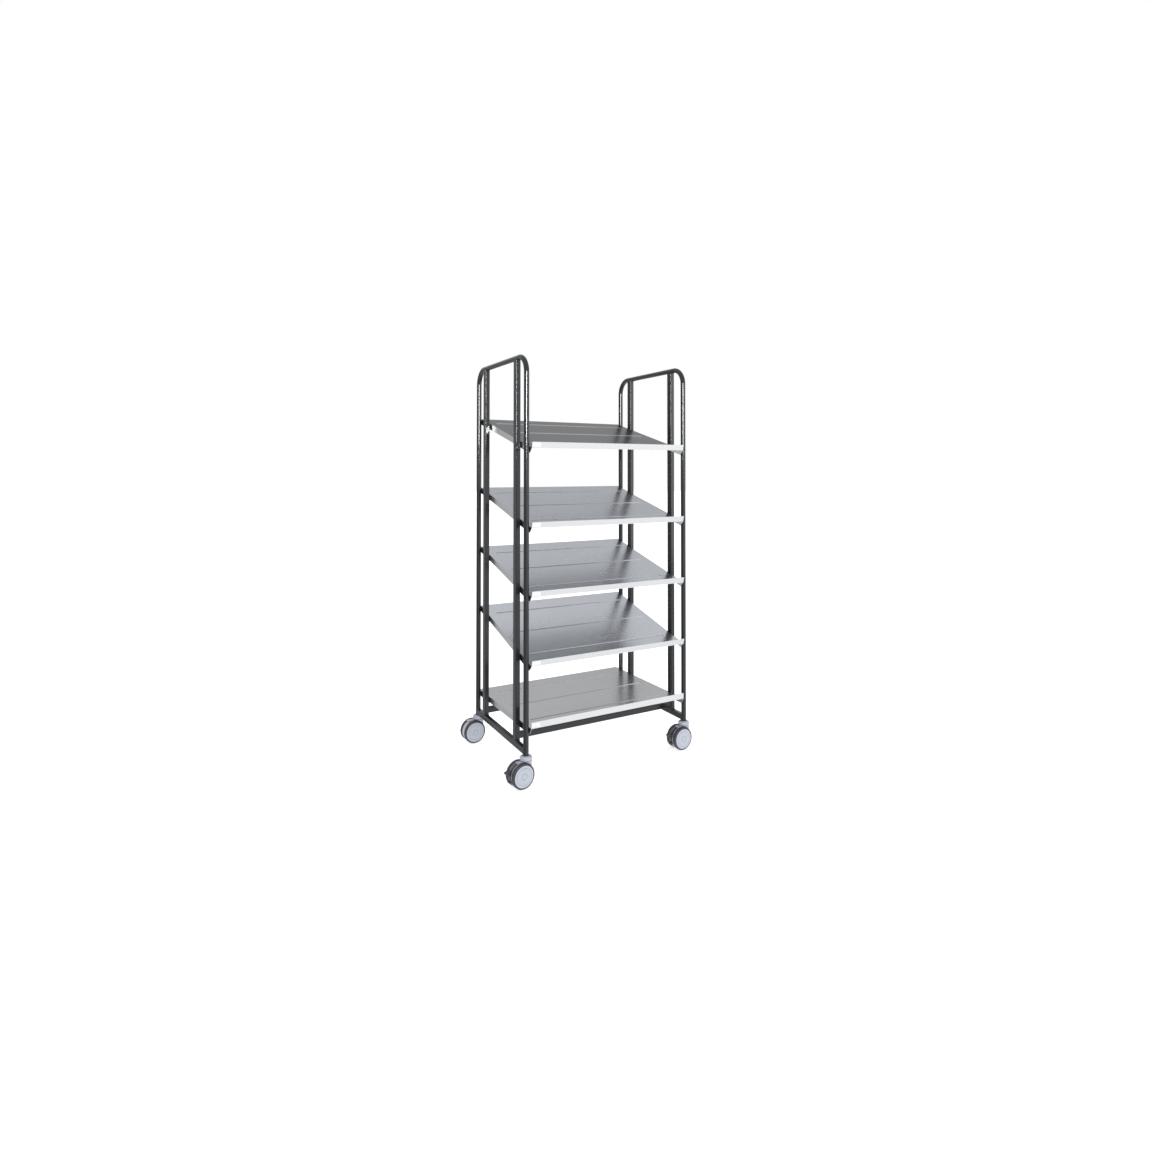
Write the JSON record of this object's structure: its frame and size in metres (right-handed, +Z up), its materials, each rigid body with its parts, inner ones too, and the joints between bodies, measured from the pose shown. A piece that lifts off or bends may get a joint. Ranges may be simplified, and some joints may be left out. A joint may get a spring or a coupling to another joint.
{
  "type": "book cart",
  "caption": "Tall mobile shelf cart: two bent tube end hoops, perforated uprights, tilted sheet-metal shelves and twin-wheel swivel casters with brake pedals.",
  "frame": {"origin": "on the floor, in the middle of the whole cart's outline", "axes": "+X along the shelves towards the right-hand end hoop, +Y from the loading side to the rear, +Z up"},
  "size_m": [0.9041, 0.6139, 1.731],
  "materials": {
    "frame_paint": "semi-gloss anthracite powder coat",
    "galvanised_steel": "satin galvanised sheet",
    "zinc": "bright zinc plate",
    "caster_plastic": "light grey moulded nylon",
    "wheel_cap": "light grey moulded cap",
    "tyre": "dark grey soft tread",
    "dark_plastic": "dark grey moulded nylon",
    "label": "blank white label"
  },
  "bodies": {
    "frame": {"left_hoop": "frame_paint", "right_hoop": "frame_paint", "left_front_upright": "frame_paint", "left_rear_upright": "frame_paint", "right_front_upright": "frame_paint", "right_rear_upright": "frame_paint", "left_base_rail": "frame_paint", "right_base_rail": "frame_paint", "front_cross_rail": "frame_paint", "rear_cross_rail": "frame_paint", "caster_sleeves": "dark_plastic", "caster_stems": "zinc", "caster_bearings": "zinc", "caster_collars": "caster_plastic", "shelf_1_arms": "frame_paint", "shelf_2_arms": "frame_paint", "shelf_3_arms": "frame_paint", "shelf_4_arms": "frame_paint", "shelf_5_arms": "frame_paint", "pivot_pins": "zinc", "rest_pins": "zinc"},
    "shelf_1": {"shelf_1": "galvanised_steel", "shelf_1_label": "label"},
    "shelf_2": {"shelf_2": "galvanised_steel", "shelf_2_label": "label"},
    "shelf_3": {"shelf_3": "galvanised_steel", "shelf_3_label": "label"},
    "shelf_4": {"shelf_4": "galvanised_steel", "shelf_4_label": "label"},
    "shelf_5": {"shelf_5": "galvanised_steel", "shelf_5_label": "label"},
    "front_left_caster": {"front_left_housing": "caster_plastic", "front_left_axle": "zinc"},
    "front_left_wheel_a": {"front_left_wheel_a_core": "wheel_cap", "front_left_wheel_a_tyre": "tyre"},
    "front_left_wheel_b": {"front_left_wheel_b_core": "wheel_cap", "front_left_wheel_b_tyre": "tyre"},
    "front_left_brake": {"front_left_brake_pedal": "dark_plastic"},
    "front_right_caster": {"front_right_housing": "caster_plastic", "front_right_axle": "zinc"},
    "front_right_wheel_a": {"front_right_wheel_a_core": "wheel_cap", "front_right_wheel_a_tyre": "tyre"},
    "front_right_wheel_b": {"front_right_wheel_b_core": "wheel_cap", "front_right_wheel_b_tyre": "tyre"},
    "front_right_brake": {"front_right_brake_pedal": "dark_plastic"},
    "rear_left_caster": {"rear_left_housing": "caster_plastic", "rear_left_axle": "zinc"},
    "rear_left_wheel_a": {"rear_left_wheel_a_core": "wheel_cap", "rear_left_wheel_a_tyre": "tyre"},
    "rear_left_wheel_b": {"rear_left_wheel_b_core": "wheel_cap", "rear_left_wheel_b_tyre": "tyre"},
    "rear_right_caster": {"rear_right_housing": "caster_plastic", "rear_right_axle": "zinc"},
    "rear_right_wheel_a": {"rear_right_wheel_a_core": "wheel_cap", "rear_right_wheel_a_tyre": "tyre"},
    "rear_right_wheel_b": {"rear_right_wheel_b_core": "wheel_cap", "rear_right_wheel_b_tyre": "tyre"}
  },
  "joints": [
    {"name": "shelf_1_lift", "type": "hinge", "parent": "frame", "child": "shelf_1", "pos_m": [0.03747, -0.21843, 1.3506], "axis": [1, 0, 0], "range_deg": [0, 12]},
    {"name": "shelf_2_lift", "type": "hinge", "parent": "frame", "child": "shelf_2", "pos_m": [0.03747, -0.21843, 1.0286], "axis": [1, 0, 0], "range_deg": [0, 12]},
    {"name": "shelf_3_lift", "type": "hinge", "parent": "frame", "child": "shelf_3", "pos_m": [0.03747, -0.21843, 0.7526], "axis": [1, 0, 0], "range_deg": [0, 12]},
    {"name": "shelf_4_lift", "type": "hinge", "parent": "frame", "child": "shelf_4", "pos_m": [0.03747, -0.21843, 0.4766], "axis": [1, 0, 0], "range_deg": [0, 12]},
    {"name": "shelf_5_lift", "type": "hinge", "parent": "frame", "child": "shelf_5", "pos_m": [0.03747, -0.21919, 0.2135], "axis": [1, 0, 0], "range_deg": [0, 12]},
    {"name": "front_left_swivel", "type": "hinge", "parent": "frame", "child": "front_left_caster", "pos_m": [-0.35353, -0.26519, 0.1], "axis": [0, 0, 1], "continuous": true},
    {"name": "front_left_wheel_a_spin", "type": "hinge", "parent": "front_left_caster", "child": "front_left_wheel_a", "pos_m": [-0.38024, -0.26918, 0.05], "axis": [-0.1478, 0.989, 0], "continuous": true},
    {"name": "front_left_wheel_b_spin", "type": "hinge", "parent": "front_left_caster", "child": "front_left_wheel_b", "pos_m": [-0.38024, -0.26918, 0.05], "axis": [-0.1478, 0.989, 0], "continuous": true},
    {"name": "front_left_brake_press", "type": "hinge", "parent": "front_left_caster", "child": "front_left_brake", "pos_m": [-0.38024, -0.26918, 0.05], "axis": [0.1478, -0.989, 0], "range_deg": [0, 12]},
    {"name": "front_right_swivel", "type": "hinge", "parent": "frame", "child": "front_right_caster", "pos_m": [0.42847, -0.26519, 0.1], "axis": [0, 0, 1], "continuous": true},
    {"name": "front_right_wheel_a_spin", "type": "hinge", "parent": "front_right_caster", "child": "front_right_wheel_a", "pos_m": [0.40152, -0.26684, 0.05], "axis": [-0.061, 0.9981, 0], "continuous": true},
    {"name": "front_right_wheel_b_spin", "type": "hinge", "parent": "front_right_caster", "child": "front_right_wheel_b", "pos_m": [0.40152, -0.26684, 0.05], "axis": [-0.061, 0.9981, 0], "continuous": true},
    {"name": "front_right_brake_press", "type": "hinge", "parent": "front_right_caster", "child": "front_right_brake", "pos_m": [0.40152, -0.26684, 0.05], "axis": [0.061, -0.9981, 0], "range_deg": [0, 12]},
    {"name": "rear_left_swivel", "type": "hinge", "parent": "frame", "child": "rear_left_caster", "pos_m": [-0.35353, 0.27481, 0.1], "axis": [0, 0, 1], "continuous": true},
    {"name": "rear_left_wheel_a_spin", "type": "hinge", "parent": "rear_left_caster", "child": "rear_left_wheel_a", "pos_m": [-0.38048, 0.27316, 0.05], "axis": [-0.061, 0.9981, 0], "continuous": true},
    {"name": "rear_left_wheel_b_spin", "type": "hinge", "parent": "rear_left_caster", "child": "rear_left_wheel_b", "pos_m": [-0.38048, 0.27316, 0.05], "axis": [-0.061, 0.9981, 0], "continuous": true},
    {"name": "rear_right_swivel", "type": "hinge", "parent": "frame", "child": "rear_right_caster", "pos_m": [0.42847, 0.27481, 0.1], "axis": [0, 0, 1], "continuous": true},
    {"name": "rear_right_wheel_a_spin", "type": "hinge", "parent": "rear_right_caster", "child": "rear_right_wheel_a", "pos_m": [0.40152, 0.27316, 0.05], "axis": [-0.061, 0.9981, 0], "continuous": true},
    {"name": "rear_right_wheel_b_spin", "type": "hinge", "parent": "rear_right_caster", "child": "rear_right_wheel_b", "pos_m": [0.40152, 0.27316, 0.05], "axis": [-0.061, 0.9981, 0], "continuous": true}
  ]
}
